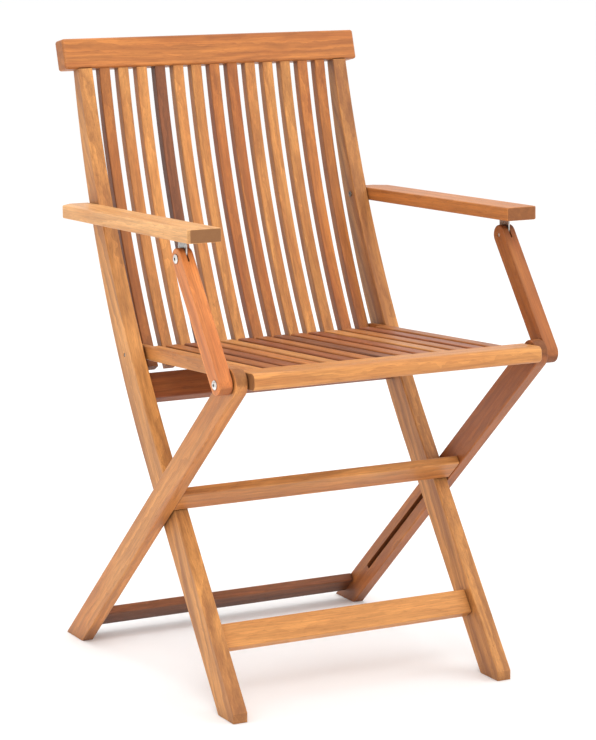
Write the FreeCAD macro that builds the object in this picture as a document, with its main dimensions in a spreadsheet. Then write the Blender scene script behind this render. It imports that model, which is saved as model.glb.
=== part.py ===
import FreeCAD, Part
import math
import os
import Sketcher

os.makedirs("parts", exist_ok=True)

# Driving sizes in millimetres and degrees.
# X is across the chair, Y runs from front to back, Z is up.
SIZES = {
    "post_outer_half": 222.5,
    "post_thick": 22.0,
    "post_foot_front_y": -245.0,
    "post_foot_rear_y": -186.5,
    "toe_clip": 10.0,
    "post_front_lean": 36.656,
    "post_rear_lean": 36.558,
    "post_front_bend_z": 333.65,
    "post_rear_bend_z": 302.6,
    "post_front_radius": 1600.0,
    "back_radius": 1366.5,
    "crest_lean": 11.2,
    "crest_overhang": 19.5,
    "crest_setback": 3.5,
    "crest_rake": 6.0,
    "crest_height": 45.0,
    "crest_depth": 30.0,
    "slat_width": 17.0,
    "slat_depth": 16.0,
    "slat_inset": 1.0,
    "slat_foot_lean": 30.3,
    "back_slat_count": 13,
    "slat_rail_height": 16.0,
    "slat_rail_lean": 29.2,
    "slat_rail_depth": 8.0,
    "low_rail_height": 40.0,
    "low_rail_depth": 20.0,
    "low_rail_z": 409.0,
    "low_rail_turn": 2.5,
    "front_stretcher_z": 94.5,
    "stretcher_height": 36.0,
    "front_stretcher_depth": 18.0,
    "leg_gap": 2.0,
    "leg_thick": 18.0,
    "leg_half_width": 20.0,
    "leg_slope": 42.1,
    "front_pivot_y": -267.4,
    "front_pivot_z": 478.5,
    "rear_pivot_y": 110.0,
    "rear_pivot_z": 455.0,
    "peg_reach": 329.9,
    "slot_length": 285.0,
    "slot_half_width": 4.0,
    "slot_depth": 9.0,
    "mid_stretcher_reach": 283.0,
    "mid_stretcher_height": 42.0,
    "rear_stretcher_reach": 685.0,
    "leg_stretcher_depth": 13.0,
    "seat_top": 12.5,
    "side_rail_height": 20.0,
    "side_rail_thick": 19.5,
    "seat_side_gap": 3.0,
    "rail_tongue_thick": 9.5,
    "rail_tongue_length": 40.0,
    "rail_tongue_end": 14.0,
    "front_rail_back": 366.0,
    "front_rail_depth": 47.0,
    "front_rail_overhang": 0.5,
    "front_rail_height": 23.0,
    "front_rail_top": 14.5,
    "nose_radius": 8.0,
    "seat_rear_edge": 28.0,
    "seat_slat_thick": 12.0,
    "seat_slat_count": 12,
    "seat_slat_gap": 9.0,
    "rear_rail_depth": 30.0,
    "rear_rail_height": 8.0,
    "arm_pivot_y": 204.0,
    "arm_pivot_z": 654.0,
    "arm_slope": 1.83,
    "arm_front": 412.0,
    "arm_rear": 26.0,
    "arm_width": 49.0,
    "arm_thick": 19.0,
    "arm_gap": 0.5,
    "arm_corner": 18.0,
    "strut_top_y": -152.3,
    "strut_top_z": 630.6,
    "strut_thick": 20.0,
    "strut_half_width": 14.5,
    "strut_gap": 1.0,
    "fork_slot": 2.6,
    "fork_depth": 13.0,
    "plate_gap": 0.3,
    "plate_half_width": 12.0,
    "plate_sunk": 12.0,
    "pin_radius": 3.0,
    "head_radius": 6.5,
    "head_height": 2.5,
    "small_head_radius": 4.0,
    "small_head_height": 1.2,
    "shank_in_head": 0.5,
    "peg_engagement": 1.4,
    "arm_bolt_length": 34.0,
    "front_pin_depth": 30.0,
    "slot_run_in": 6.0,
    "running_gap": 0.06,
    "edge_ease": 2.0,
}

doc = FreeCAD.newDocument("FoldingChair")
sheet = doc.addObject("Spreadsheet::Sheet", "sizes")
for row, (alias, value) in enumerate(SIZES.items(), start=1):
    sheet.set("A%d" % row, alias)
    sheet.set("B%d" % row, str(value))
    sheet.setAlias("B%d" % row, alias)
doc.recompute()

Vector = FreeCAD.Vector
Rotation = FreeCAD.Rotation
Placement = FreeCAD.Placement
ACROSS = Vector(1, 0, 0)
NODES = []


def size(alias):
    return float(SIZES[alias])


def expression(text):
    """Turn bare size names into spreadsheet references."""
    words = []
    word = ""
    for letter in text + " ":
        if letter.isalnum() or letter == "_":
            word += letter
            continue
        if word in SIZES:
            word = "sizes." + word
        words.append(word + letter)
        word = ""
    return "".join(words).strip()


def new_body(label, base, tilt=0.0):
    """Make a body whose own frame sits at base, turned about the X direction."""
    body = doc.addObject("PartDesign::Body", label)
    body.Label = label
    body.Placement = Placement(Vector(*base), Rotation(ACROSS, tilt))
    NODES.append(body)
    return body


def plane_of(body, role):
    for feature in body.Origin.OriginFeatures:
        if feature.Role == role:
            return feature
    raise ValueError(role)


def new_sketch(body, role, offset=0.0):
    sketch = body.newObject("Sketcher::SketchObject", body.Name + "_sketch")
    sketch.AttachmentSupport = [(plane_of(body, role), "")]
    sketch.MapMode = "FlatFace"
    sketch.AttachmentOffset = Placement(Vector(0, 0, offset), Rotation())
    return sketch


def bind(sketch, constraint, text):
    index = sketch.addConstraint(constraint)
    sketch.setExpression("Constraints[%d]" % index, expression(text))


def add_rectangle(sketch, width, height):
    """Centred rectangle whose two sizes are size expressions."""
    half_w = 10.0
    half_h = 10.0
    corners = [(-half_w, -half_h), (half_w, -half_h), (half_w, half_h), (-half_w, half_h)]
    for i in range(4):
        start = Vector(corners[i][0], corners[i][1], 0)
        end = Vector(corners[(i + 1) % 4][0], corners[(i + 1) % 4][1], 0)
        sketch.addGeometry(Part.LineSegment(start, end), False)
    for i in range(4):
        sketch.addConstraint(Sketcher.Constraint("Coincident", i, 2, (i + 1) % 4, 1))
    sketch.addConstraint(Sketcher.Constraint("Horizontal", 0))
    sketch.addConstraint(Sketcher.Constraint("Horizontal", 2))
    sketch.addConstraint(Sketcher.Constraint("Vertical", 1))
    sketch.addConstraint(Sketcher.Constraint("Vertical", 3))
    sketch.addConstraint(Sketcher.Constraint("Symmetric", 0, 1, 2, 1, -1, 1))
    bind(sketch, Sketcher.Constraint("DistanceX", 0, 1, 0, 2, 2 * half_w), width)
    bind(sketch, Sketcher.Constraint("DistanceY", 1, 1, 1, 2, 2 * half_h), height)


def add_polygon(sketch, points):
    """Closed outline through points, each given as a pair of size expressions."""
    values = [(evaluate(a), evaluate(b)) for a, b in points]
    count = len(values)
    for i in range(count):
        start = Vector(values[i][0], values[i][1], 0)
        end = Vector(values[(i + 1) % count][0], values[(i + 1) % count][1], 0)
        sketch.addGeometry(Part.LineSegment(start, end), False)
    for i in range(count):
        sketch.addConstraint(Sketcher.Constraint("Coincident", i, 2, (i + 1) % count, 1))
    for i in range(count):
        place_point(sketch, i, 1, points[i], values[i])


def place_point(sketch, line, end, texts, values):
    """Tie one point to the sketch origin by its two coordinates."""
    for name, text, value in zip(("DistanceX", "DistanceY"), texts, values):
        constraint = Sketcher.Constraint(name, -1, 1, line, end, value)
        bind(sketch, constraint, text)


def evaluate(text):
    """Read the number a size expression stands for."""
    return float(FreeCAD.Units.Quantity(sheet.evalExpression(expression(text))).Value)


def pad(body, sketch, length, middle=False, backwards=False):
    feature = body.newObject("PartDesign::Pad", body.Name + "_pad")
    feature.Profile = sketch
    feature.setExpression("Length", expression(length))
    feature.Midplane = middle
    feature.Reversed = backwards
    sketch.Visibility = False
    doc.recompute()
    return feature


def pocket(body, sketch, length, backwards=False):
    before = body.Shape.Volume
    feature = body.newObject("PartDesign::Pocket", body.Name + "_pocket")
    feature.Profile = sketch
    feature.setExpression("Length", expression(length))
    feature.Reversed = backwards
    sketch.Visibility = False
    doc.recompute()
    if body.Shape.Volume > before - 1.0:
        raise ValueError("pocket cut nothing in " + body.Label)
    return feature


def ease(body, radius="edge_ease", keep=None):
    """Round the outside edges of a solid so that no arris is left sharp."""
    solid = body.Tip
    names = []
    for number, edge in enumerate(solid.Shape.Edges, start=1):
        if keep is None or keep(edge):
            names.append("Edge%d" % number)
    feature = body.newObject("PartDesign::Fillet", body.Name + "_ease")
    feature.Base = (solid, names)
    feature.setExpression("Radius", expression(radius))
    doc.recompute()
    return feature


def bar(label, lengths, centre, tilt=0.0, radius="edge_ease"):
    """Straight bar with eased edges, centred on a point."""
    body = new_body(label, centre, tilt)
    sketch = new_sketch(body, "XY_Plane")
    add_rectangle(sketch, lengths[0], lengths[1])
    pad(body, sketch, lengths[2], middle=True)
    ease(body, radius)
    return body


def bore(body, points, radius, start, depth, backwards):
    """Round holes along X, starting on the plane X = start of the body frame."""
    sketch = new_sketch(body, "YZ_Plane", start)
    for number, (y_text, z_text) in enumerate(points):
        spot = Vector(evaluate(y_text), evaluate(z_text), 0)
        sketch.addGeometry(Part.Circle(spot, Vector(0, 0, 1), evaluate(radius)), False)
        place_point(sketch, number, 3, (y_text, z_text), (spot.x, spot.y))
        bind(sketch, Sketcher.Constraint("Radius", number, evaluate(radius)), radius)
    return pocket(body, sketch, depth, backwards)


# Points and sizes that several pieces share, worked out once from the driving sizes.
leg_angle = math.radians(size("leg_slope"))
leg_down = Vector(0, math.cos(leg_angle), -math.sin(leg_angle))
leg_up_face = Vector(0, math.sin(leg_angle), math.cos(leg_angle))
front_pivot = Vector(0, size("front_pivot_y"), size("front_pivot_z"))
rear_pivot = Vector(0, size("rear_pivot_y"), size("rear_pivot_z"))
peg = front_pivot + leg_down * size("peg_reach")
arm_point = Vector(0, size("arm_pivot_y"), size("arm_pivot_z"))
arm_place = Placement(arm_point, Rotation(ACROSS, -size("arm_slope")))
strut_top = Vector(0, size("strut_top_y"), size("strut_top_z"))
strut_in_arm = arm_place.inverse().multVec(strut_top)
strut_run = strut_top - front_pivot
inner_half = size("post_outer_half") - size("post_thick")
seat_outer = inner_half - size("seat_side_gap")
seat_inner = seat_outer - size("side_rail_thick")
seat_slats = int(size("seat_slat_count"))
seat_gap = size("seat_slat_gap")
slat_wide = (2 * seat_inner - (seat_slats + 1) * seat_gap) / seat_slats
derived = {
    "peg_y": peg.y,
    "peg_z": peg.z,
    "between_posts": inner_half,
    "between_legs": size("post_outer_half") + size("leg_gap"),
    "crest_half_length": size("post_outer_half") + size("crest_overhang"),
    "side_rail_outer_half": seat_outer,
    "front_rail_half_length": size("post_outer_half") + size("front_rail_overhang"),
    "plate_thick": size("fork_slot") - 2 * size("plate_gap"),
    "arm_inner": size("post_outer_half") + size("arm_gap"),
    "plate_y": strut_in_arm.y,
    "plate_z": strut_in_arm.z,
    "strut_reach": strut_run.Length,
    "seat_slat_width": slat_wide,
}
derived["strut_inner"] = derived["between_legs"] + size("leg_thick") + size("strut_gap")
for index in range(seat_slats):
    start = -seat_inner + seat_gap + index * (slat_wide + seat_gap)
    derived["seat_slat_start_%02d" % (index + 1)] = start
for row, (alias, value) in enumerate(derived.items(), start=len(SIZES) + 1):
    sheet.set("A%d" % row, alias)
    sheet.set("B%d" % row, "%.6f" % value)
    sheet.setAlias("B%d" % row, alias)
SIZES.update(derived)
doc.recompute()
front_lean = math.radians(size("post_front_lean"))
rear_lean = math.radians(size("post_rear_lean"))
BACK_CENTRE_Y = "(post_foot_rear_y + tan(post_rear_lean * 1deg) * post_rear_bend_z" \
    " - back_radius * cos(post_rear_lean * 1deg))"
BACK_CENTRE_Z = "(post_rear_bend_z + back_radius * sin(post_rear_lean * 1deg))"
back_y = evaluate(BACK_CENTRE_Y)
back_z = evaluate(BACK_CENTRE_Z)


def polar(radius, lean):
    """Point on an arc about the back centre, at a lean from the vertical."""
    angle = math.radians(lean)
    return back_y + radius * math.cos(angle), back_z - radius * math.sin(angle)


def make_post(label, side):
    """Long post: straight leg below, curved backrest above, cut flat at the floor."""
    inner = size("post_outer_half") - size("post_thick")
    body = new_body(label, (side * inner, 0, 0))
    sketch = new_sketch(body, "YZ_Plane")
    clip = size("toe_clip")
    heel = Vector(size("post_foot_front_y") + clip, 0, 0)
    toe = Vector(heel.x, clip / math.tan(front_lean), 0)
    r0 = Vector(size("post_foot_rear_y"), 0, 0)
    f1 = Vector(0, size("post_front_bend_z"), 0)
    f1.x = size("post_foot_front_y") + math.tan(front_lean) * f1.y
    r1 = Vector(r0.x + math.tan(rear_lean) * size("post_rear_bend_z"), size("post_rear_bend_z"), 0)
    radius = size("post_front_radius")
    front_centre = Vector(f1.x - radius * math.cos(front_lean), f1.y + radius * math.sin(front_lean), 0)
    rear_centre = Vector(back_y, back_z, 0)
    crest_angle = math.radians(size("crest_lean"))
    rear_top = Vector(*polar(size("back_radius"), size("crest_lean")), 0)
    outward = Vector(math.cos(crest_angle), -math.sin(crest_angle), 0)
    offset = rear_centre - front_centre
    along = offset.dot(outward)
    reach = -along + math.sqrt(along * along - offset.dot(offset) + radius * radius)
    front_top = rear_centre + outward * reach
    start = math.atan2(f1.y - front_centre.y, f1.x - front_centre.x)
    stop = math.atan2(front_top.y - front_centre.y, front_top.x - front_centre.x)
    circle = Part.Circle(front_centre, Vector(0, 0, 1), radius)
    front_arc = Part.ArcOfCircle(circle, start, stop)
    circle = Part.Circle(rear_centre, Vector(0, 0, 1), size("back_radius"))
    start = math.atan2(r1.y - rear_centre.y, r1.x - rear_centre.x)
    stop = math.atan2(rear_top.y - rear_centre.y, rear_top.x - rear_centre.x)
    rear_arc = Part.ArcOfCircle(circle, start, stop)
    sketch.addGeometry(Part.LineSegment(toe, f1), False)
    sketch.addGeometry(front_arc, False)
    sketch.addGeometry(Part.LineSegment(front_top, rear_top), False)
    sketch.addGeometry(rear_arc, False)
    sketch.addGeometry(Part.LineSegment(r1, r0), False)
    sketch.addGeometry(Part.LineSegment(r0, heel), False)
    sketch.addGeometry(Part.LineSegment(heel, toe), False)
    sketch.addConstraint(Sketcher.Constraint("Coincident", 0, 1, 6, 2))
    sketch.addConstraint(Sketcher.Constraint("Coincident", 5, 2, 6, 1))
    sketch.addConstraint(Sketcher.Constraint("Coincident", 4, 2, 5, 1))
    sketch.addConstraint(Sketcher.Constraint("Coincident", 1, 2, 2, 1))
    sketch.addConstraint(Sketcher.Constraint("Coincident", 2, 2, 3, 2))
    sketch.addConstraint(Sketcher.Constraint("Tangent", 0, 2, 1, 1))
    sketch.addConstraint(Sketcher.Constraint("Tangent", 4, 1, 3, 1))
    place_point(sketch, 6, 1, ("post_foot_front_y + toe_clip", "0"), (heel.x, 0.0))
    place_point(sketch, 6, 2, ("post_foot_front_y + toe_clip", "toe_clip / tan(post_front_lean * 1deg)"),
                (toe.x, toe.y))
    place_point(sketch, 4, 2, ("post_foot_rear_y", "0"), (r0.x, 0.0))
    bind(sketch, Sketcher.Constraint("DistanceY", -1, 1, 0, 2, f1.y), "post_front_bend_z")
    bind(sketch, Sketcher.Constraint("DistanceY", -1, 1, 4, 1, r1.y), "post_rear_bend_z")
    bind(sketch, Sketcher.Constraint("DistanceX", -1, 1, 0, 2, f1.x),
         "post_foot_front_y + tan(post_front_lean * 1deg) * post_front_bend_z")
    bind(sketch, Sketcher.Constraint("DistanceX", -1, 1, 4, 1, r1.x),
         "post_foot_rear_y + tan(post_rear_lean * 1deg) * post_rear_bend_z")
    bind(sketch, Sketcher.Constraint("Radius", 1, radius), "post_front_radius")
    bind(sketch, Sketcher.Constraint("Radius", 3, size("back_radius")), "back_radius")
    bind(sketch, Sketcher.Constraint("DistanceY", -1, 1, 3, 2, rear_top.y),
         BACK_CENTRE_Z + " - back_radius * sin(crest_lean * 1deg)")
    bind(sketch, Sketcher.Constraint("DistanceY", -1, 1, 1, 2, front_top.y),
         "%s - %.9f * sin(crest_lean * 1deg)" % (BACK_CENTRE_Z, reach))
    pad(body, sketch, "post_thick", backwards=side < 0)
    ease(body, keep=lambda edge: abs(edge.tangentAt(edge.FirstParameter).x) < 0.5
         and edge.BoundBox.ZMax > 1.0 and not is_top_edge(edge, rear_top.y))
    holes = (("peg_y", "peg_z"), ("rear_pivot_y", "rear_pivot_z"), ("arm_pivot_y", "arm_pivot_z"))
    bore(body, holes, "pin_radius + running_gap", 0.0, "post_thick + 1", side > 0)
    return body


def is_top_edge(edge, top_z):
    return edge.BoundBox.ZMin > top_z - 8.0


post_left = make_post("post_left", -1)
post_right = make_post("post_right", 1)

# Crest rail: its underside lies on the plane where the posts and slats end, its faces lean further back.
crest_radius = size("back_radius") - size("slat_depth") / 2 - size("slat_inset")
seat_point = polar(crest_radius, size("crest_lean"))
crest = new_body("crest_rail", (0, seat_point[0], seat_point[1]), -size("crest_lean"))
outline = new_sketch(crest, "YZ_Plane")
front = "(crest_setback - crest_depth / 2)"
rear = "(crest_setback + crest_depth / 2)"
shear = "crest_height * tan(crest_rake * 1deg)"
add_polygon(outline, ((front, "0"), (rear, "0"), (rear + " + " + shear, "crest_height"),
                      (front + " + " + shear, "crest_height")))
pad(crest, outline, "2 * crest_half_length", middle=True)
ease(crest, "2 * edge_ease")


def make_back_slat(number, centre_x):
    """Curved slat swept about the centre of the backrest curve."""
    body = new_body("back_slat_%02d" % number, (centre_x, back_y, back_z), -size("slat_foot_lean"))
    sketch = new_sketch(body, "XY_Plane")
    outer = "(back_radius - slat_inset)"
    inner = "(back_radius - slat_inset - slat_depth)"
    half = "slat_width / 2"
    add_polygon(sketch, (("-" + half, inner), (half, inner), (half, outer), ("-" + half, outer)))
    feature = body.newObject("PartDesign::Revolution", body.Name + "_sweep")
    feature.Profile = sketch
    feature.ReferenceAxis = (sketch, ["H_Axis"])
    feature.setExpression("Angle", expression("slat_foot_lean - crest_lean"))
    sketch.Visibility = False
    doc.recompute()
    if body.Shape.BoundBox.ZMax < body.Placement.Base.z - back_z + 300:
        feature.Reversed = True
        doc.recompute()
    ease(body, keep=lambda edge: edge.Length > 100.0)
    return body


slat_count = int(size("back_slat_count"))
slat_gap = (2 * inner_half - slat_count * size("slat_width")) / (slat_count + 1)
for index in range(slat_count):
    spot = -inner_half + slat_gap + size("slat_width") / 2 + index * (slat_gap + size("slat_width"))
    make_back_slat(index + 1, spot)
doc.recompute()


def cross_bar(label, half_length, section, centre, tilt):
    """Rail across the chair: section is (depth across the tilt, height along it)."""
    return bar(label, ("2 * " + half_length, section[0], section[1]), centre, tilt)


def post_point(z, share):
    """Point inside the post at a height: share 0 is its front edge, 1 its rear edge."""
    centre_z = size("post_front_bend_z") + size("post_front_radius") * math.sin(front_lean)
    centre_y = (size("post_foot_front_y") + math.tan(front_lean) * size("post_front_bend_z")
                - size("post_front_radius") * math.cos(front_lean))
    if z < size("post_front_bend_z"):
        front = size("post_foot_front_y") + math.tan(front_lean) * z
    else:
        front = centre_y + math.sqrt(size("post_front_radius") ** 2 - (centre_z - z) ** 2)
    if z < size("post_rear_bend_z"):
        rear = size("post_foot_rear_y") + math.tan(rear_lean) * z
    else:
        rear = back_y + math.sqrt(size("back_radius") ** 2 - (back_z - z) ** 2)
    return front + share * (rear - front)


# Rails between the two long posts.
lean_low = -size("post_rear_lean")
low_z = size("low_rail_z")
cross_bar("lower_back_rail", "between_posts", ("low_rail_depth", "low_rail_height"),
          (0, post_point(low_z, 0.5), low_z), lean_low + size("low_rail_turn"))
stretcher_z = size("front_stretcher_z")
cross_bar("front_stretcher", "between_posts", ("front_stretcher_depth", "stretcher_height"),
          (0, post_point(stretcher_z, 0.5), stretcher_z), lean_low)
# The slats are fixed to this thin rail, which stays behind the seat.
slat_back = size("back_radius") - size("slat_inset")
rail_spot = polar(slat_back + size("slat_rail_depth") / 2, size("slat_rail_lean"))
cross_bar("slat_rail", "between_posts", ("slat_rail_depth", "slat_rail_height"),
          (0, rail_spot[0], rail_spot[1]), -size("slat_rail_lean"))


# Short legs: rounded at the front pivot, cut flat at the floor, grooved on the inner face.
def make_leg(label, side):
    inner = size("post_outer_half") + size("leg_gap")
    body = new_body(label, (side * inner, 0, 0))
    sketch = new_sketch(body, "YZ_Plane")
    half = size("leg_half_width")
    upper = front_pivot + leg_up_face * half
    lower = front_pivot - leg_up_face * half
    upper_foot = upper + leg_down * (upper.z / math.sin(leg_angle))
    lower_foot = lower + leg_down * (lower.z / math.sin(leg_angle))
    flat = [Vector(p.y, p.z, 0) for p in (upper, upper_foot, lower_foot, lower)]
    centre = Vector(front_pivot.y, front_pivot.z, 0)
    circle = Part.Circle(centre, Vector(0, 0, 1), half)
    start = math.atan2(flat[0].y - centre.y, flat[0].x - centre.x)
    sketch.addGeometry(Part.LineSegment(flat[0], flat[1]), False)
    sketch.addGeometry(Part.LineSegment(flat[1], flat[2]), False)
    sketch.addGeometry(Part.LineSegment(flat[2], flat[3]), False)
    sketch.addGeometry(Part.ArcOfCircle(circle, start, start + math.pi), False)
    sketch.addConstraint(Sketcher.Constraint("Coincident", 0, 2, 1, 1))
    sketch.addConstraint(Sketcher.Constraint("Coincident", 1, 2, 2, 1))
    sketch.addConstraint(Sketcher.Constraint("Tangent", 2, 2, 3, 2))
    sketch.addConstraint(Sketcher.Constraint("Tangent", 0, 1, 3, 1))
    place_point(sketch, 3, 3, ("front_pivot_y", "front_pivot_z"), (centre.x, centre.y))
    bind(sketch, Sketcher.Constraint("Radius", 3, half), "leg_half_width")
    bind(sketch, Sketcher.Constraint("DistanceY", -1, 1, 0, 2, 0.0), "0")
    bind(sketch, Sketcher.Constraint("DistanceY", -1, 1, 1, 2, 0.0), "0")
    bind(sketch, Sketcher.Constraint("DistanceX", -1, 1, 0, 2, flat[1].x),
         "front_pivot_y + (front_pivot_z * cos(leg_slope * 1deg) + leg_half_width)"
         " / sin(leg_slope * 1deg)")
    bind(sketch, Sketcher.Constraint("DistanceX", -1, 1, 1, 2, flat[2].x),
         "front_pivot_y + (front_pivot_z * cos(leg_slope * 1deg) - leg_half_width)"
         " / sin(leg_slope * 1deg)")
    pad(body, sketch, "leg_thick", backwards=side < 0)
    ease(body, keep=lambda edge: abs(edge.tangentAt(edge.FirstParameter).x) < 0.5
         and edge.BoundBox.ZMax > 1.0)
    holes = (("front_pivot_y", "front_pivot_z"),)
    bore(body, holes, "pin_radius + running_gap", 0.0, "leg_thick - 2", side > 0)
    cut_slot(body, side)
    return body


def cut_slot(body, side):
    """Blind groove in which the peg of the long post travels."""
    sketch = new_sketch(body, "YZ_Plane")
    half = size("slot_half_width")
    first = peg - leg_down * size("slot_run_in")
    last = first + leg_down * size("slot_length")
    near = [first + leg_up_face * half, last + leg_up_face * half]
    far = [last - leg_up_face * half, first - leg_up_face * half]
    flat = [Vector(p.y, p.z, 0) for p in near + far]
    ends = [Vector(p.y, p.z, 0) for p in (last, first)]
    angle = math.atan2(flat[1].y - ends[0].y, flat[1].x - ends[0].x)
    sketch.addGeometry(Part.LineSegment(flat[0], flat[1]), False)
    circle = Part.Circle(ends[0], Vector(0, 0, 1), half)
    sketch.addGeometry(Part.ArcOfCircle(circle, angle - math.pi, angle), False)
    sketch.addGeometry(Part.LineSegment(flat[2], flat[3]), False)
    circle = Part.Circle(ends[1], Vector(0, 0, 1), half)
    sketch.addGeometry(Part.ArcOfCircle(circle, angle, angle + math.pi), False)
    sketch.addConstraint(Sketcher.Constraint("Tangent", 0, 2, 1, 2))
    sketch.addConstraint(Sketcher.Constraint("Tangent", 1, 1, 2, 1))
    sketch.addConstraint(Sketcher.Constraint("Tangent", 2, 2, 3, 2))
    sketch.addConstraint(Sketcher.Constraint("Tangent", 3, 1, 0, 1))
    along = "(front_pivot_y + (peg_reach - slot_run_in) * cos(leg_slope * 1deg))"
    down = "(front_pivot_z - (peg_reach - slot_run_in) * sin(leg_slope * 1deg))"
    place_point(sketch, 3, 3, (along, down), (ends[1].x, ends[1].y))
    bind(sketch, Sketcher.Constraint("DistanceX", 3, 3, 1, 3, ends[0].x - ends[1].x),
         "slot_length * cos(leg_slope * 1deg)")
    bind(sketch, Sketcher.Constraint("DistanceY", 1, 3, 3, 3, ends[1].y - ends[0].y),
         "slot_length * sin(leg_slope * 1deg)")
    bind(sketch, Sketcher.Constraint("Radius", 1, half), "slot_half_width")
    pocket(body, sketch, "slot_depth", side > 0)


make_leg("short_leg_left", -1)
make_leg("short_leg_right", 1)
leg_tilt = 90.0 - size("leg_slope")
inset = size("leg_half_width") - size("leg_stretcher_depth") / 2
mid_spot = front_pivot + leg_down * size("mid_stretcher_reach") - leg_up_face * (inset - 0.5)
cross_bar("middle_stretcher", "between_legs", ("leg_stretcher_depth", "mid_stretcher_height"),
          (0, mid_spot.y, mid_spot.z), leg_tilt)
rear_spot = front_pivot + leg_down * size("rear_stretcher_reach") + leg_up_face * inset
cross_bar("rear_stretcher", "between_legs", ("leg_stretcher_depth", "stretcher_height"),
          (0, rear_spot.y, rear_spot.z), leg_tilt)

# Seat: its own frame has Y running from the rear pivot to the front pivot, Z square to it.
seat_run = front_pivot - rear_pivot
seat_tilt = math.degrees(math.atan2(-seat_run.z, -seat_run.y))
seat_place = Placement(rear_pivot, Rotation(ACROSS, seat_tilt))


def seat_body(label):
    body = new_body(label, (0, 0, 0))
    body.Placement = seat_place
    return body


def seat_block(label, x_range, y_range, z_range, radius="edge_ease", keep=None):
    """Block in the seat frame from three pairs of size expressions."""
    body = seat_body(label)
    sketch = new_sketch(body, "XY_Plane", evaluate(z_range[0]))
    sketch.setExpression("AttachmentOffset.Base.z", expression(z_range[0]))
    add_polygon(sketch, ((x_range[0], y_range[0]), (x_range[1], y_range[0]),
                         (x_range[1], y_range[1]), (x_range[0], y_range[1])))
    pad(body, sketch, "(%s) - (%s)" % (z_range[1], z_range[0]))
    ease(body, radius, keep)
    return body


def make_side_rail(label, side):
    """Side rail with a thin tongue at the back that carries the rear pivot."""
    body = seat_body(label)
    sketch = new_sketch(body, "XY_Plane", evaluate("seat_top - side_rail_height"))
    sketch.setExpression("AttachmentOffset.Base.z", expression("seat_top - side_rail_height"))
    sign = "" if side > 0 else "-"
    outer = sign + "side_rail_outer_half"
    inner = sign + "(side_rail_outer_half - side_rail_thick)"
    tongue = sign + "(side_rail_outer_half - rail_tongue_thick)"
    points = [(outer, "-front_rail_back"), (outer, "rail_tongue_end"), (tongue, "rail_tongue_end"),
              (tongue, "rail_tongue_end - rail_tongue_length"),
              (inner, "rail_tongue_end - rail_tongue_length"), (inner, "-front_rail_back")]
    if side < 0:
        points.reverse()
    add_polygon(sketch, points)
    pad(body, sketch, "side_rail_height")
    ease(body, keep=lambda edge: edge.Length > 60.0)
    holes = (("0", "0"),)
    start = side * (size("side_rail_outer_half") - size("rail_tongue_thick") - 1.0)
    bore(body, holes, "pin_radius + running_gap", start, "rail_tongue_thick + 2", side > 0)
    return body


make_side_rail("seat_side_rail_left", -1)
make_side_rail("seat_side_rail_right", 1)
front_edge = -size("front_rail_back") - size("front_rail_depth")
front_rail = seat_block("seat_front_rail", ("-front_rail_half_length", "front_rail_half_length"),
                        ("-(front_rail_back + front_rail_depth)", "-front_rail_back"),
                        ("front_rail_top - front_rail_height", "front_rail_top"),
                        "nose_radius", keep=lambda edge: edge.CenterOfMass.y < front_edge + 0.5
                        and edge.Length > 100.0)
ease(front_rail, keep=lambda edge: abs(edge.tangentAt(edge.FirstParameter).x) < 0.5)
for side in (-1, 1):
    bore(front_rail, (("-%.6f" % seat_run.Length, "0"),), "pin_radius + running_gap",
         side * size("front_rail_half_length"), "front_pin_depth + 2", side < 0)
rail_inner = "(side_rail_outer_half - side_rail_thick)"
seat_block("seat_rear_rail", ("-" + rail_inner, rail_inner),
           ("-(seat_rear_edge + rear_rail_depth)", "-seat_rear_edge"),
           ("seat_top - seat_slat_thick - rear_rail_height", "seat_top - seat_slat_thick"))
for index in range(seat_slats):
    start = "seat_slat_start_%02d" % (index + 1)
    seat_block("seat_slat_%02d" % (index + 1), (start, start + " + seat_slat_width"),
               ("-front_rail_back", "-seat_rear_edge"),
               ("seat_top - seat_slat_thick", "seat_top"),
               keep=lambda edge: edge.Length > 100.0)

# Armrests: frame at the rear pivot, Y along the board, Z square to it.


def make_armrest(label, side):
    body = new_body(label, (0, 0, 0))
    body.Placement = arm_place
    sketch = new_sketch(body, "XY_Plane", -size("arm_thick") / 2)
    sketch.setExpression("AttachmentOffset.Base.z", expression("-arm_thick / 2"))
    sign = "" if side > 0 else "-"
    inner = sign + "arm_inner"
    outer = sign + "(arm_inner + arm_width)"
    cut = sign + "(arm_inner + arm_width - arm_corner)"
    small = sign + "(arm_inner + arm_width - 4)"
    points = [(inner, "-arm_front"), (small, "-arm_front"), (outer, "4 - arm_front"),
              (outer, "arm_rear - arm_corner"), (cut, "arm_rear"), (inner, "arm_rear")]
    if side < 0:
        points.reverse()
    add_polygon(sketch, points)
    pad(body, sketch, "arm_thick")
    ease(body)
    start = side * size("arm_inner")
    bore(body, (("0", "0"),), "pin_radius + running_gap", start, "arm_bolt_length + 2", side > 0)
    mortise = new_sketch(body, "XY_Plane", -size("arm_thick") / 2)
    mortise.setExpression("AttachmentOffset.Base.z", expression("-arm_thick / 2"))
    centre_x = "%d * (strut_inner + strut_thick / 2)" % side
    half_x = "(plate_thick / 2 + 0.1)"
    half_y = "(plate_half_width + 0.1)"
    add_polygon(mortise, ((centre_x + " - " + half_x, "plate_y - " + half_y),
                          (centre_x + " + " + half_x, "plate_y - " + half_y),
                          (centre_x + " + " + half_x, "plate_y + " + half_y),
                          (centre_x + " - " + half_x, "plate_y + " + half_y)))
    pocket(body, mortise, "plate_sunk + 0.1", backwards=True)
    return body


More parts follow.
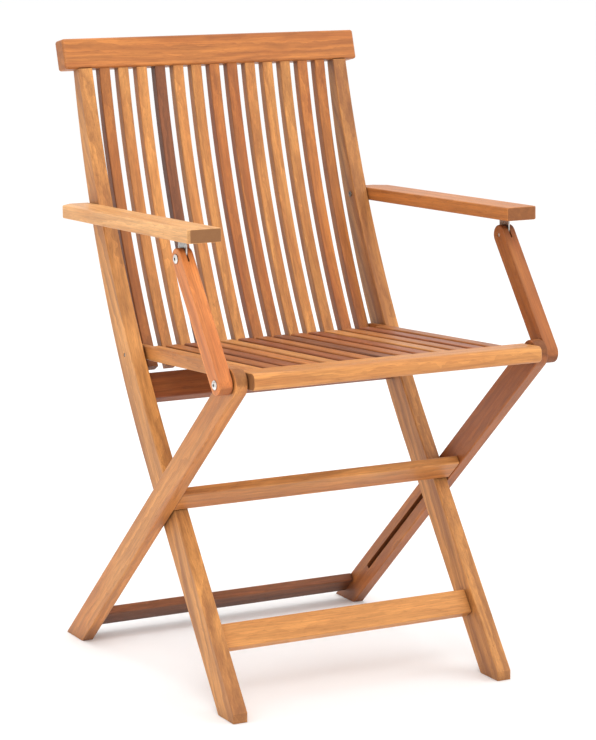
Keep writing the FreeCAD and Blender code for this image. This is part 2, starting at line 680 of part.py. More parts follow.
def make_plate(label, side):
    """Steel plate let into the armrest, on which the forked strut turns."""
    middle = side * (size("strut_inner") + size("strut_thick") / 2)
    body = new_body(label, (0, 0, 0))
    body.Placement = arm_place
    sketch = new_sketch(body, "YZ_Plane", middle)
    half = size("plate_half_width")
    centre = Vector(size("plate_y"), size("plate_z"), 0)
    top = size("plate_sunk") - size("arm_thick") / 2
    circle = Part.Circle(centre, Vector(0, 0, 1), half)
    sketch.addGeometry(Part.ArcOfCircle(circle, math.pi, 2 * math.pi), False)
    right = Vector(centre.x + half, centre.y, 0)
    left = Vector(centre.x - half, centre.y, 0)
    sketch.addGeometry(Part.LineSegment(right, Vector(right.x, top, 0)), False)
    sketch.addGeometry(Part.LineSegment(Vector(right.x, top, 0), Vector(left.x, top, 0)), False)
    sketch.addGeometry(Part.LineSegment(Vector(left.x, top, 0), left), False)
    sketch.addConstraint(Sketcher.Constraint("Tangent", 0, 2, 1, 1))
    sketch.addConstraint(Sketcher.Constraint("Coincident", 1, 2, 2, 1))
    sketch.addConstraint(Sketcher.Constraint("Coincident", 2, 2, 3, 1))
    sketch.addConstraint(Sketcher.Constraint("Tangent", 3, 2, 0, 1))
    sketch.addConstraint(Sketcher.Constraint("Horizontal", 2))
    place_point(sketch, 0, 3, ("plate_y", "plate_z"), (centre.x, centre.y))
    bind(sketch, Sketcher.Constraint("Radius", 0, half), "plate_half_width")
    bind(sketch, Sketcher.Constraint("DistanceY", -1, 1, 1, 2, top), "plate_sunk - arm_thick / 2")
    pad(body, sketch, "plate_thick", middle=True)
    bore(body, (("plate_y", "plate_z"),), "pin_radius + running_gap",
         middle - size("plate_thick"), "2 * plate_thick", True)
    return body


# Struts: frame at the lower end, Z running up to the armrest.
strut_tilt = -math.degrees(math.atan2(strut_run.y, strut_run.z))
strut_place = Placement(front_pivot, Rotation(ACROSS, strut_tilt))


def make_strut(label, side):
    body = new_body(label, (0, 0, 0))
    body.Placement = strut_place
    start = side * size("strut_inner")
    sketch = new_sketch(body, "YZ_Plane", start)
    half = size("strut_half_width")
    reach = size("strut_reach")
    bottom = Part.Circle(Vector(0, 0, 0), Vector(0, 0, 1), half)
    upper = Part.Circle(Vector(0, reach, 0), Vector(0, 0, 1), half)
    sketch.addGeometry(Part.ArcOfCircle(bottom, math.pi, 2 * math.pi), False)
    sketch.addGeometry(Part.LineSegment(Vector(half, 0, 0), Vector(half, reach, 0)), False)
    sketch.addGeometry(Part.ArcOfCircle(upper, 0.0, math.pi), False)
    sketch.addGeometry(Part.LineSegment(Vector(-half, reach, 0), Vector(-half, 0, 0)), False)
    sketch.addConstraint(Sketcher.Constraint("Tangent", 0, 2, 1, 1))
    sketch.addConstraint(Sketcher.Constraint("Tangent", 1, 2, 2, 1))
    sketch.addConstraint(Sketcher.Constraint("Tangent", 2, 2, 3, 1))
    sketch.addConstraint(Sketcher.Constraint("Tangent", 3, 2, 0, 1))
    place_point(sketch, 0, 3, ("0", "0"), (0.0, 0.0))
    place_point(sketch, 2, 3, ("0", "strut_reach"), (0.0, reach))
    bind(sketch, Sketcher.Constraint("Radius", 0, half), "strut_half_width")
    pad(body, sketch, "strut_thick", backwards=side < 0)
    ease(body)
    middle = side * (size("strut_inner") + size("strut_thick") / 2)
    fork = new_sketch(body, "XZ_Plane", size("strut_half_width") + 1.0)
    gap = "fork_slot / 2"
    centre_x = "%d * (strut_inner + strut_thick / 2)" % side
    add_polygon(fork, ((centre_x + " - " + gap, "strut_reach - fork_depth"),
                       (centre_x + " + " + gap, "strut_reach - fork_depth"),
                       (centre_x + " + " + gap, "strut_reach + 30"),
                       (centre_x + " - " + gap, "strut_reach + 30")))
    pocket(body, fork, "2 * strut_half_width + 2")
    holes = (("0", "strut_reach"),)
    bore(body, holes, "pin_radius + running_gap", start, "strut_thick + 1", side > 0)
    holes = (("0", "0"),)
    outside = side * (size("strut_inner") + size("strut_thick"))
    bore(body, holes, "pin_radius + running_gap", outside, "strut_thick - 2", side < 0)
    return body


for name, side in (("left", -1), ("right", 1)):
    make_armrest("armrest_" + name, side)
    make_plate("arm_plate_" + name, side)
    make_strut("strut_" + name, side)


# Fasteners: round pins with a domed head, turned about the X direction.
def pin_shape(tip, head, side, point):
    """Pin lying along X between two distances from the middle of the chair."""
    low = min(tip, head)
    length = abs(head - tip)
    centre = Vector(side * low, point.y, point.z)
    shank = Part.makeCylinder(size("pin_radius"), length, centre, Vector(side, 0, 0))
    return shank


def head_shape(spot, direction, point, kind="head"):
    """Low domed head with a drive socket; direction is the way the head faces."""
    radius = size(kind + "_radius")
    height = size(kind + "_height")
    base = Vector(spot, point.y, point.z)
    axis = Vector(direction, 0, 0)
    head = Part.makeCylinder(radius, height, base, axis)
    rim = [edge for edge in head.Edges if abs(edge.CenterOfMass.x - spot) > 0.9 * height]
    head = head.makeFillet(height / 3, rim[:1])
    socket = Part.makeCylinder(radius / 3, height, base + axis * (height / 2), axis)
    return head.cut(socket)


def add_fasteners(label, shapes):
    node = doc.addObject("Part::Feature", label)
    node.Label = label
    node.Shape = Part.makeCompound(shapes)
    NODES.append(node)
    return node


post_inner = inner_half
post_outer = size("post_outer_half")
in_head = size("shank_in_head")
solids = []
for side in (-1, 1):
    shank = pin_shape(post_inner - in_head, size("arm_inner") + size("arm_bolt_length"), side, arm_point)
    head = head_shape(side * post_inner, -side, arm_point, "small_head")
    solids.append(shank.fuse(head).removeSplitter())
add_fasteners("arm_pivot_bolts", solids)
solids = []
for side in (-1, 1):
    shank = pin_shape(post_inner - in_head, post_outer + size("peg_engagement"), side, peg)
    head = head_shape(side * post_inner, -side, peg, "small_head")
    solids.append(shank.fuse(head).removeSplitter())
add_fasteners("slot_pegs", solids)
solids = []
tongue_inner = size("side_rail_outer_half") - size("rail_tongue_thick")
for side in (-1, 1):
    solids.append(pin_shape(tongue_inner + 0.2, post_outer - 0.5, side, rear_pivot))
add_fasteners("seat_rear_pins", solids)
solids = []
for side in (-1, 1):
    solids.append(pin_shape(size("front_rail_half_length") - size("front_pin_depth"),
                            size("between_legs") + size("leg_thick") - 2.5, side, front_pivot))
add_fasteners("seat_front_pins", solids)
strut_outer = size("strut_inner") + size("strut_thick")
for name, side in (("left", -1), ("right", 1)):
    shank = pin_shape(size("strut_inner") + 0.4, strut_outer + in_head, side, strut_top)
    screw = shank.fuse(head_shape(side * strut_outer, side, strut_top)).removeSplitter()
    add_fasteners("strut_top_screw_" + name, [screw])
    shank = pin_shape(size("strut_inner") + 2.5, strut_outer + in_head, side, front_pivot)
    screw = shank.fuse(head_shape(side * strut_outer, side, front_pivot)).removeSplitter()
    add_fasteners("strut_foot_screw_" + name, [screw])

doc.recompute()
bad = []
for item in doc.Objects:
    if "Invalid" in item.State or "Error" in item.State:
        bad.append(item.Name)
if bad:
    raise RuntimeError("objects that failed: " + ", ".join(bad))
for node in NODES:
    shape = node.Shape
    if shape.isNull() or not shape.isValid():
        raise RuntimeError("bad shape: " + node.Label)
    shape.exportStep("parts/" + node.Label + ".step")
print(len(NODES), "pieces written")
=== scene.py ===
# %% [markdown]
# # A folding garden armchair in oiled acacia
# The frame comes in as a set of finished solids: posts, rails, slats, armrests and struts. This lesson
# leaves their shapes alone, gives each board its own piece of timber, and makes the four strut screws
# again with more detail. All sizes are metres. X runs across the chair, Y from front to back and Z up.

# %% Load the frame
import math

import bmesh
import bpy
import numpy as np
from mathutils import Euler, Matrix, Vector


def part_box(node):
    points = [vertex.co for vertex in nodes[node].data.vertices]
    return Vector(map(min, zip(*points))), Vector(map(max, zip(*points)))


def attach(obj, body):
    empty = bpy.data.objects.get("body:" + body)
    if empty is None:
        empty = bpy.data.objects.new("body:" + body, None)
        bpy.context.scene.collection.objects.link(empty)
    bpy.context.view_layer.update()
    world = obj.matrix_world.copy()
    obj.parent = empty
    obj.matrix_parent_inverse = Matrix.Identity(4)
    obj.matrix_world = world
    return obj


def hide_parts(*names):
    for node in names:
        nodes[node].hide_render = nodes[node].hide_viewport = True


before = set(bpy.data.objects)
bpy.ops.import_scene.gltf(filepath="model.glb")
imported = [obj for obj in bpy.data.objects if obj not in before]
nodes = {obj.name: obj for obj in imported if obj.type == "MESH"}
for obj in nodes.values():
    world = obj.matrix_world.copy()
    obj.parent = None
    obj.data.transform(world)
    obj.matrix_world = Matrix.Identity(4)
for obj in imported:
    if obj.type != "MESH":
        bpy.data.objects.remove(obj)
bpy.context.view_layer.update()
scene = bpy.context.scene

# %% [markdown]
# ## Camera
# A long lens from the chair's front left, above the back, keeps the two sides nearly parallel. A wide lens
# close by would spread the legs. The small vertical shift centres the chair without tilting the camera.

# %% Camera
CAMERA_PLACE = Vector((-1.8004, -3.3953, 1.1487))
CAMERA_YAW = math.radians(27.956)
CAMERA_PITCH = math.radians(-10.843)
LENS = 131.88
SENSOR_WIDTH = 36.0
VERTICAL_SHIFT = 0.0176
camera_data = bpy.data.cameras.new("camera")
camera_data.lens = LENS
camera_data.sensor_width = SENSOR_WIDTH
camera_data.shift_y = VERTICAL_SHIFT
camera = bpy.data.objects.new("camera", camera_data)
camera.location = CAMERA_PLACE
camera.rotation_euler = Euler((math.pi / 2 + CAMERA_PITCH, 0, -CAMERA_YAW), "XYZ")
scene.collection.objects.link(camera)
scene.camera = camera

# %% [markdown]
# ## Floor and light
# A near-white floor runs out to a white world, so no horizon shows. A curved backdrop would do the same, but
# a flat floor also works from every other side. One large softbox hangs in front and to the left, a second
# fills from the right, a third hangs overhead, and the world gives the rest, which keeps the shadows light.

# %% Floor
FLOOR_REACH = 30.0
FLOOR_DROP = 0.0005
FLOOR_COLOUR = (0.95, 0.95, 0.95, 1)
floor_mesh = bpy.data.meshes.new("floor")
floor_shape = bmesh.new()
bmesh.ops.create_grid(floor_shape, x_segments=1, y_segments=1, size=FLOOR_REACH)
floor_shape.to_mesh(floor_mesh)
floor_shape.free()
floor = bpy.data.objects.new("floor", floor_mesh)
floor.location.z = -FLOOR_DROP
scene.collection.objects.link(floor)
floor_paint = bpy.data.materials.new("floor_paint")
floor_paint.use_nodes = True
floor_shader = floor_paint.node_tree.nodes["Principled BSDF"]
floor_shader.inputs["Base Color"].default_value = FLOOR_COLOUR
floor_shader.inputs["Roughness"].default_value = 0.9
floor_shader.inputs["Specular IOR Level"].default_value = 0.1
floor.data.materials.append(floor_paint)
print("floor", 2 * FLOOR_REACH, "m across,", FLOOR_DROP, "m below the feet")

# %% Lights


def softbox(name, place, side, power):
    """Square area light at a place, facing the seat."""
    data = bpy.data.lights.new(name, "AREA")
    data.shape = "SQUARE"
    data.size = side
    data.energy = power
    lamp = bpy.data.objects.new(name, data)
    lamp.location = place
    lamp.rotation_euler = (AIM - Vector(place)).to_track_quat("-Z", "Y").to_euler()
    scene.collection.objects.link(lamp)


AIM = Vector((0, 0, 0.45))
WORLD_STRENGTH = 1.06
softbox("key_light", (-1.6, -3.2, 3.2), side=2.6, power=54)
softbox("right_light", (3.4, -1.6, 2.2), side=2.4, power=26)
softbox("top_light", (0.0, 0.3, 3.6), side=2.6, power=30)
world = bpy.data.worlds.new("studio")
world.use_nodes = True
world.node_tree.nodes["Background"].inputs["Color"].default_value = (1.0, 1.0, 1.0, 1)
world.node_tree.nodes["Background"].inputs["Strength"].default_value = WORLD_STRENGTH
scene.world = world
scene.view_settings.view_transform = "Standard"

# %% [markdown]
# ## Timber as a solid block
# Acacia shows growth rings, paler sapwood beside red-brown heartwood, cloudy patches, long fine fibres and
# short dark pores. All but the clouds are drawn out strongly along the board, so the pattern is worked out
# in the board's own directions: X along the grain, Y and Z across it. It could be painted on each face
# instead, but a solid pattern meets correctly round every corner and shows as arcs on the cut ends. One
# node group makes it and gives out a colour, a roughness and a height.

# %% Small helpers for shader nodes


def link(tree, source, target):
    tree.links.new(source, target)


def add_math(tree, operation, first, second=None, clamp=False):
    """One Math node; each operand is a socket or a number."""
    node = tree.nodes.new("ShaderNodeMath")
    node.operation = operation
    node.use_clamp = clamp
    for index, operand in enumerate((first, second)):
        if operand is None:
            continue
        if isinstance(operand, (int, float)):
            node.inputs[index].default_value = operand
        else:
            link(tree, operand, node.inputs[index])
    return node.outputs[0]


def stretch(tree, vector, factors):
    """Scale a vector, so that a pattern is drawn out along the grain."""
    node = tree.nodes.new("ShaderNodeVectorMath")
    node.operation = "MULTIPLY"
    link(tree, vector, node.inputs[0])
    node.inputs[1].default_value = factors
    return node.outputs[0]


def add_noise(tree, vector, detail, roughness):
    node = tree.nodes.new("ShaderNodeTexNoise")
    node.inputs["Scale"].default_value = 1.0
    node.inputs["Detail"].default_value = detail
    node.inputs["Roughness"].default_value = roughness
    link(tree, vector, node.inputs["Vector"])
    return node


def remap(tree, value, low, high, out_low=0.0, out_high=1.0):
    """Turn one range of values into another, clamped at both ends."""
    node = tree.nodes.new("ShaderNodeMapRange")
    node.interpolation_type = "SMOOTHSTEP"
    link(tree, value, node.inputs["Value"])
    node.inputs["From Min"].default_value = low
    node.inputs["From Max"].default_value = high
    node.inputs["To Min"].default_value = out_low
    node.inputs["To Max"].default_value = out_high
    return node.outputs["Result"]


def mix_colour(tree, factor, first, second, blend="MIX"):
    """Colour Mix node; factor and both colours are sockets or constants."""
    node = tree.nodes.new("ShaderNodeMix")
    node.data_type = "RGBA"
    node.blend_type = blend
    for socket, value in zip((node.inputs[0], node.inputs[6], node.inputs[7]), (factor, first, second)):
        if isinstance(value, (float, int, tuple)):
            socket.default_value = value
        else:
            link(tree, value, socket)
    return node.outputs[2]


print("helpers", [f.__name__ for f in (link, add_math, stretch, add_noise, remap, mix_colour)])


# %% The timber group's sockets and scales
TIMBER_INPUTS = (("Place", "NodeSocketVector"), ("Sapwood", "NodeSocketColor"),
                 ("Heartwood", "NodeSocketColor"), ("Dark Grain", "NodeSocketColor"),
                 ("Heart Share", "NodeSocketFloat"), ("Figure", "NodeSocketFloat"),
                 ("End Grain", "NodeSocketFloat"))
TIMBER_OUTPUTS = (("Colour", "NodeSocketColor"), ("Roughness", "NodeSocketFloat"),
                  ("Height", "NodeSocketFloat"))
# How many times each pattern repeats in a metre, along the grain and the two ways across it.
DRIFT_SCALE = (2.4, 11.0, 11.0)
HEART_SCALE = (2.6, 30.0, 30.0)
CLOUD_SCALE = (9.0, 26.0, 26.0)
STREAK_SCALE = (2.6, 150.0, 150.0)
FIBRE_SCALE = (16.0, 820.0, 820.0)
PORE_SCALE = (75.0, 1500.0, 1500.0)
# How far the drift moves the rings, in metres, and the rings' own settings.
DRIFT_REACH = (0.0, 0.050, 0.050)
RING_SETTINGS = {"Scale": 23.0, "Distortion": 3.4, "Detail": 3.0, "Detail Scale": 1.8}
# How much each mark darkens the board at full strength.
RING_SHARE = 0.26
STREAK_SHARE = 0.40
CLOUD_SHARE = 0.22
PORE_SHARE = 0.45
END_SHARE = 0.72
END_DARKENING = (0.6, 0.6, 0.6, 1.0)
print("timber group takes", [name for name, kind in TIMBER_INPUTS])

# %% The timber group


def darken(tree, body, mark, share, given):
    """Mix the dark of the grain in where a mark is, by its share and the board's figure."""
    amount = add_math(tree, "MULTIPLY", add_math(tree, "MULTIPLY", mark, share), given.outputs["Figure"])
    return mix_colour(tree, amount, body, given.outputs["Dark Grain"])


def build_timber_group():
    """Solid timber: growth rings, heartwood, clouds, fibres and pores, all drawn out along X."""
    tree = bpy.data.node_groups.new("oiled_timber", "ShaderNodeTree")
    for name, kind in TIMBER_INPUTS:
        tree.interface.new_socket(name, in_out="INPUT", socket_type=kind)
    for name, kind in TIMBER_OUTPUTS:
        tree.interface.new_socket(name, in_out="OUTPUT", socket_type=kind)
    given = tree.nodes.new("NodeGroupInput")
    result = tree.nodes.new("NodeGroupOutput")
    place = given.outputs["Place"]
    end_grain = given.outputs["End Grain"]
    # The trunk wandered as it grew: a slow drift moves the rings sideways along the board.
    drift = add_noise(tree, stretch(tree, place, DRIFT_SCALE), 3.0, 0.55)
    drifted = tree.nodes.new("ShaderNodeVectorMath")
    drifted.operation = "MULTIPLY_ADD"
    link(tree, drift.outputs["Color"], drifted.inputs[0])
    drifted.inputs[1].default_value = DRIFT_REACH
    link(tree, place, drifted.inputs[2])
    bent = drifted.outputs[0]
    rings = tree.nodes.new("ShaderNodeTexWave")
    rings.wave_type = "RINGS"
    rings.rings_direction = "X"
    rings.wave_profile = "SAW"
    for name, value in RING_SETTINGS.items():
        rings.inputs[name].default_value = value
    link(tree, bent, rings.inputs["Vector"])
    late_wood = remap(tree, rings.outputs["Fac"], 0.15, 1.0)
    heart_noise = add_noise(tree, stretch(tree, bent, HEART_SCALE), 4.0, 0.6)
    heart_level = add_math(tree, "ADD", heart_noise.outputs["Fac"], given.outputs["Heart Share"])
    heart = remap(tree, heart_level, 0.82, 1.16)
    # Broad cloudy patches, where the board took more or less oil.
    cloud_noise = add_noise(tree, stretch(tree, place, CLOUD_SCALE), 3.0, 0.6)
    cloud = remap(tree, cloud_noise.outputs["Fac"], 0.32, 0.70)
    streak_noise = add_noise(tree, stretch(tree, bent, STREAK_SCALE), 3.0, 0.6)
    streak = remap(tree, streak_noise.outputs["Fac"], 0.35, 0.72)
    fibre = add_noise(tree, stretch(tree, place, FIBRE_SCALE), 3.0, 0.65).outputs["Fac"]
    pore_noise = add_noise(tree, stretch(tree, place, PORE_SCALE), 1.0, 0.5)
    pores = remap(tree, pore_noise.outputs["Fac"], 0.62, 0.74)
    # Colour: sapwood to heartwood, then late wood, streaks, clouds, fibres, pores and end grain on top.
    body = mix_colour(tree, heart, given.outputs["Sapwood"], given.outputs["Heartwood"])
    body = darken(tree, body, late_wood, RING_SHARE, given)
    body = darken(tree, body, streak, STREAK_SHARE, given)
    body = darken(tree, body, cloud, CLOUD_SHARE, given)
    tint = remap(tree, fibre, 0.3, 0.7, 0.86, 1.12)
    shade = tree.nodes.new("ShaderNodeCombineColor")
    for channel in range(3):
        link(tree, tint, shade.inputs[channel])
    body = mix_colour(tree, 1.0, body, shade.outputs[0], "MULTIPLY")
    pore_share = add_math(tree, "MULTIPLY", pores, PORE_SHARE)
    body = mix_colour(tree, pore_share, body, given.outputs["Dark Grain"])
    end_share = add_math(tree, "MULTIPLY", end_grain, END_SHARE, clamp=True)
    end_tone = mix_colour(tree, 1.0, given.outputs["Dark Grain"], END_DARKENING, "MULTIPLY")
    body = mix_colour(tree, end_share, body, end_tone)
    link(tree, body, result.inputs["Colour"])
    # Roughness: dry fibres, open pores and cut ends shine less.
    rough = remap(tree, fibre, 0.3, 0.7, 0.40, 0.52)
    rough = add_math(tree, "ADD", rough, add_math(tree, "MULTIPLY", pores, 0.16))
    dry_end = add_math(tree, "MULTIPLY", end_grain, 0.22)
    rough = add_math(tree, "ADD", rough, dry_end, clamp=True)
    link(tree, rough, result.inputs["Roughness"])
    # Height: fibres and late wood stand proud, pores are sunk.
    height = add_math(tree, "MULTIPLY", fibre, 0.5)
    height = add_math(tree, "SUBTRACT", height, add_math(tree, "MULTIPLY", pores, 0.8))
    height = add_math(tree, "ADD", height, add_math(tree, "MULTIPLY", late_wood, 0.25))
    link(tree, height, result.inputs["Height"])
    return tree


timber_group = build_timber_group()
print("timber group", len(timber_group.nodes), "nodes")

# %% [markdown]
# ## Edges and corners
# Handling rubs the oil off the outer edges, so they go a little paler and drier; the paler edges also serve
# as a painted highlight. Where boards meet, the colour is darkened with painted shade. Both could be painted
# by hand on each board. Two masks find the places by themselves: the first compares the true surface
# direction with one rounded over 3 mm, and the second, for the painted shade, asks how much of the sky each
# point sees.

# %% The wear and painted shade group
EDGE_ROUNDING = 0.003
JOINT_REACH = 0.045


def build_wear_and_shade_group():
    """Masks for the outer edges, which go paler from wear and from a painted highlight, and for painted shade
    where boards meet.
    """
    tree = bpy.data.node_groups.new("worn_edges_and_painted_shade", "ShaderNodeTree")
    for name in ("Edge", "Painted Shade"):
        tree.interface.new_socket(name, in_out="OUTPUT", socket_type="NodeSocketFloat")
    result = tree.nodes.new("NodeGroupOutput")
    rounded = tree.nodes.new("ShaderNodeBevel")
    rounded.samples = 6
    rounded.inputs["Radius"].default_value = EDGE_ROUNDING
    true_side = tree.nodes.new("ShaderNodeNewGeometry")
    alike = tree.nodes.new("ShaderNodeVectorMath")
    alike.operation = "DOT_PRODUCT"
    link(tree, rounded.outputs[0], alike.inputs[0])
    link(tree, true_side.outputs["True Normal"], alike.inputs[1])
    link(tree, remap(tree, alike.outputs["Value"], 0.995, 0.86), result.inputs["Edge"])
    # Painted shade: the second mask is stronger where a point sees little sky close by, as where boards meet.
    sky = tree.nodes.new("ShaderNodeAmbientOcclusion")
    sky.samples = 8
    sky.inputs["Distance"].default_value = JOINT_REACH
    link(tree, remap(tree, sky.outputs["AO"], 0.90, 0.20), result.inputs["Painted Shade"])
    return tree


wear_and_shade_group = build_wear_and_shade_group()
print("wear group", len(wear_and_shade_group.nodes), "nodes")

# %% [markdown]
# ## The palette
# The maker mixed boards freely: some are straw coloured, most are honey or amber, a few are dark brown, and
# the posts run from honey sapwood to walnut-brown heartwood. One tone for the whole chair would look like
# plastic, so there are seven. Each is a sapwood, a heartwood and the dark of its grain.

# %% Palette
TONES = {
    "straw": ((0.78, 0.42, 0.165), (0.66, 0.30, 0.10), (0.33, 0.14, 0.05)),
    "honey": ((0.70, 0.31, 0.088), (0.55, 0.20, 0.052), (0.25, 0.09, 0.028)),
    "amber": ((0.56, 0.205, 0.048), (0.41, 0.125, 0.030), (0.19, 0.060, 0.020)),
    "tangerine": ((0.80, 0.275, 0.070), (0.62, 0.175, 0.042), (0.30, 0.085, 0.025)),
    "streaked": ((0.73, 0.325, 0.090), (0.33, 0.125, 0.042), (0.20, 0.070, 0.024)),
    "russet": ((0.43, 0.135, 0.036), (0.29, 0.076, 0.023), (0.13, 0.038, 0.015)),
    "umber": ((0.31, 0.105, 0.038), (0.18, 0.056, 0.023), (0.075, 0.026, 0.013)),
}
print("tones", list(TONES))

# %% [markdown]
# ## Giving every board its own timber
# A Mapping node turns the object's coordinates so that X follows the board, and moves them so that each
# board is cut from a different part of the tree. The long direction could be typed in for each board, but
# reading it from the board's own mesh keeps it right when a size changes. A face is end grain where its
# direction is close to that long direction.

# %% Finding a board's long direction


def board_frame(board):
    """Centre and long, wide and thin directions of a board."""
    spots = np.empty(len(board.data.vertices) * 3)
    board.data.vertices.foreach_get("co", spots)
    spots = spots.reshape(-1, 3)
    low, high = spots.min(axis=0), spots.max(axis=0)
    middle = (low + high) / 2
    spread = (spots - spots.mean(axis=0)).T @ (spots - spots.mean(axis=0))
    strength, directions = np.linalg.eigh(spread)
    order = np.argsort(-strength)
    long_way, wide_way = (Vector(directions[:, k]) for k in order[:2])
    if long_way[max(range(3), key=lambda k: abs(long_way[k]))] < 0:
        long_way.negate()
    if wide_way[max(range(3), key=lambda k: abs(wide_way[k]))] < 0:
        wide_way.negate()
    thin_way = long_way.cross(wide_way)
    return Vector(middle), Matrix((long_way, wide_way, thin_way))


print("an armrest runs along", [round(v, 2) for v in board_frame(nodes["armrest_left"])[1][0]])


# %% One timber material
USUAL_END = 0.8
# How much paler the edges go, part from wear and part as a painted highlight, and how much drier they are
# from wear.
EDGE_WEAR_AND_HIGHLIGHT = 0.22
EDGE_DRYNESS = 0.10
# How dark the painted shade is where boards meet.
JOINT_SHADE = 0.62


def make_timber(board, tone, number, figure, heart, end=USUAL_END):
    """Material for one board: its own place in the tree, tone and strength of figure."""
    sapwood, heartwood, dark = TONES[tone]
    material = bpy.data.materials.new("timber_" + board.name)
    material.use_nodes = True
    tree = material.node_tree
    shader = tree.nodes["Principled BSDF"]
    middle, turn = board_frame(board)
    spread = np.random.default_rng(number)
    tree_place = Vector((spread.uniform(-3, 3), spread.uniform(0.045, 0.12), spread.uniform(0.02, 0.09)))
    coordinates = tree.nodes.new("ShaderNodeTexCoord")
    mapping = tree.nodes.new("ShaderNodeMapping")
    mapping.inputs["Rotation"].default_value = turn.to_euler("XYZ")
    mapping.inputs["Location"].default_value = tree_place - turn @ middle
    link(tree, coordinates.outputs["Object"], mapping.inputs["Vector"])
    along = tree.nodes.new("ShaderNodeVectorMath")
    along.operation = "DOT_PRODUCT"
    link(tree, coordinates.outputs["Normal"], along.inputs[0])
    along.inputs[1].default_value = turn[0]
    facing = add_math(tree, "ABSOLUTE", along.outputs["Value"])
    end_grain = remap(tree, facing, 0.62, 0.85, 0.0, end)
    timber = tree.nodes.new("ShaderNodeGroup")
    timber.node_tree = timber_group
    link(tree, mapping.outputs["Vector"], timber.inputs["Place"])
    link(tree, end_grain, timber.inputs["End Grain"])
    drift = spread.uniform(0.90, 1.10)
    for name, colour in (("Sapwood", sapwood), ("Heartwood", heartwood), ("Dark Grain", dark)):
        timber.inputs[name].default_value = tuple(min(c * drift, 1.0) for c in colour) + (1.0,)
    timber.inputs["Heart Share"].default_value = heart
    timber.inputs["Figure"].default_value = figure
    wear_and_shade = tree.nodes.new("ShaderNodeGroup")
    wear_and_shade.node_tree = wear_and_shade_group
    # The edges go paler, part from worn oil and part as a painted highlight.
    pale = tuple(min(c * 1.25, 1.0) for c in sapwood) + (1.0,)
    worn_and_highlit = add_math(tree, "MULTIPLY", wear_and_shade.outputs["Edge"], EDGE_WEAR_AND_HIGHLIGHT)
    colour = mix_colour(tree, worn_and_highlit, timber.outputs["Colour"], pale)
    # Painted shade where boards meet: the colour goes darker where the point sees little sky.
    shaded = tuple(c * 0.55 for c in dark) + (1.0,)
    painted_joint_shade = add_math(tree, "MULTIPLY", wear_and_shade.outputs["Painted Shade"], JOINT_SHADE)
    colour = mix_colour(tree, painted_joint_shade, colour, shaded)
    link(tree, colour, shader.inputs["Base Color"])
    dried = add_math(tree, "MULTIPLY", wear_and_shade.outputs["Edge"], EDGE_DRYNESS)
    rough = add_math(tree, "ADD", timber.outputs["Roughness"], dried, clamp=True)
    link(tree, rough, shader.inputs["Roughness"])
    bump = tree.nodes.new("ShaderNodeBump")
    bump.inputs["Strength"].default_value = 0.35
    bump.inputs["Distance"].default_value = 0.0006
    link(tree, timber.outputs["Height"], bump.inputs["Height"])
    link(tree, bump.outputs["Normal"], shader.inputs["Normal"])
    shader.inputs["Specular IOR Level"].default_value = 0.32
    shader.inputs["Coat Weight"].default_value = 0.06
    shader.inputs["Coat Roughness"].default_value = 0.34
    board.data.materials.clear()
    board.data.materials.append(material)


print("timber takes its tone from", len(TONES), "choices and fades", EDGE_WEAR_AND_HIGHLIGHT, "at the edges")

# %% [markdown]
# ## Choosing boards
# The chair is put together from mixed stock: the posts are streaked honey boards, the legs honey and amber,
# and the thin slats vary most because they are sawn from offcuts. Drawing the tones at random would be
# shorter, but a table lets each board be chosen: its tone, its strength of figure and its share of heart.

# %% Frame boards
BOARDS = {
    "post_left": ("streaked", 1.1, 0.40), "post_right": ("streaked", 1.1, 0.44),
    "crest_rail": ("amber", 1.0, 0.44), "lower_back_rail": ("russet", 1.0, 0.50),
    "front_stretcher": ("honey", 0.7, 0.40), "slat_rail": ("amber", 1.0, 0.60),
    "short_leg_left": ("honey", 1.1, 0.50), "short_leg_right": ("amber", 1.3, 0.58),
    "middle_stretcher": ("honey", 1.1, 0.52), "rear_stretcher": ("umber", 1.2, 0.30),
    "seat_side_rail_left": ("honey", 1.0, 0.42), "seat_side_rail_right": ("amber", 1.0, 0.50),
    "seat_front_rail": ("honey", 0.9, 0.42), "seat_rear_rail": ("amber", 1.0, 0.50),
    "armrest_left": ("straw", 0.9, 0.42), "armrest_right": ("amber", 0.9, 0.36),
    "strut_left": ("tangerine", 1.0, 0.36), "strut_right": ("amber", 1.0, 0.55),
}
# How dark the cut ends have gone, where it isn't the usual darkness.
CUT_ENDS = {"crest_rail": 0.3, "armrest_left": 1.3, "armrest_right": 0.9, "seat_front_rail": 1.1}
BOARD_SEED = 100
for number, (name, (tone, figure, heart)) in enumerate(BOARDS.items(), start=1):
    make_timber(nodes[name], tone, BOARD_SEED + number, figure, heart, CUT_ENDS.get(name, USUAL_END))
print("frame boards", len(BOARDS))

# %% Slats
BACK_SLAT_TONES = ("amber", "honey", "honey", "umber", "honey", "honey", "amber",
                   "amber", "honey", "honey", "honey", "amber", "amber")
SEAT_SLAT_TONES = ("amber", "russet", "amber", "honey", "russet", "amber",
                   "umber", "amber", "russet", "honey", "amber", "russet")
SLAT_SEED = 500
SEED_STEP = 7
SLAT_FIGURE = 1.1
SLAT_HEART = 0.46
for group, tones in (("back_slat_", BACK_SLAT_TONES), ("seat_slat_", SEAT_SLAT_TONES)):
    for number, tone in enumerate(tones, start=1):
        seed = SLAT_SEED + SEED_STEP * number + len(tone)
        make_timber(nodes[group + "%02d" % number], tone, seed, SLAT_FIGURE, SLAT_HEART)
    print(group, len(tones))

# %% [markdown]
# ## Steel
# The screws and the arm plates are bright zinc plate, lightly brushed. The bolts in the posts have gone dull.
# Two separate materials would repeat the same nodes, so one function makes both finishes. The mask that
# darkens joints with painted shade also puts painted shade into the sockets and onto the steel next to the
# wood.

# %% Steel material
# Painted shade in the sockets and where the steel meets the wood: its strength and its colour.
SOCKET_SHADE = 0.85
SOCKET_SHADE_COLOUR = (0.03, 0.024, 0.02, 1.0)
PATCH_SCALE = (260.0, 260.0, 260.0)
SCRATCH_SCALE = (900.0, 240.0, 5200.0)


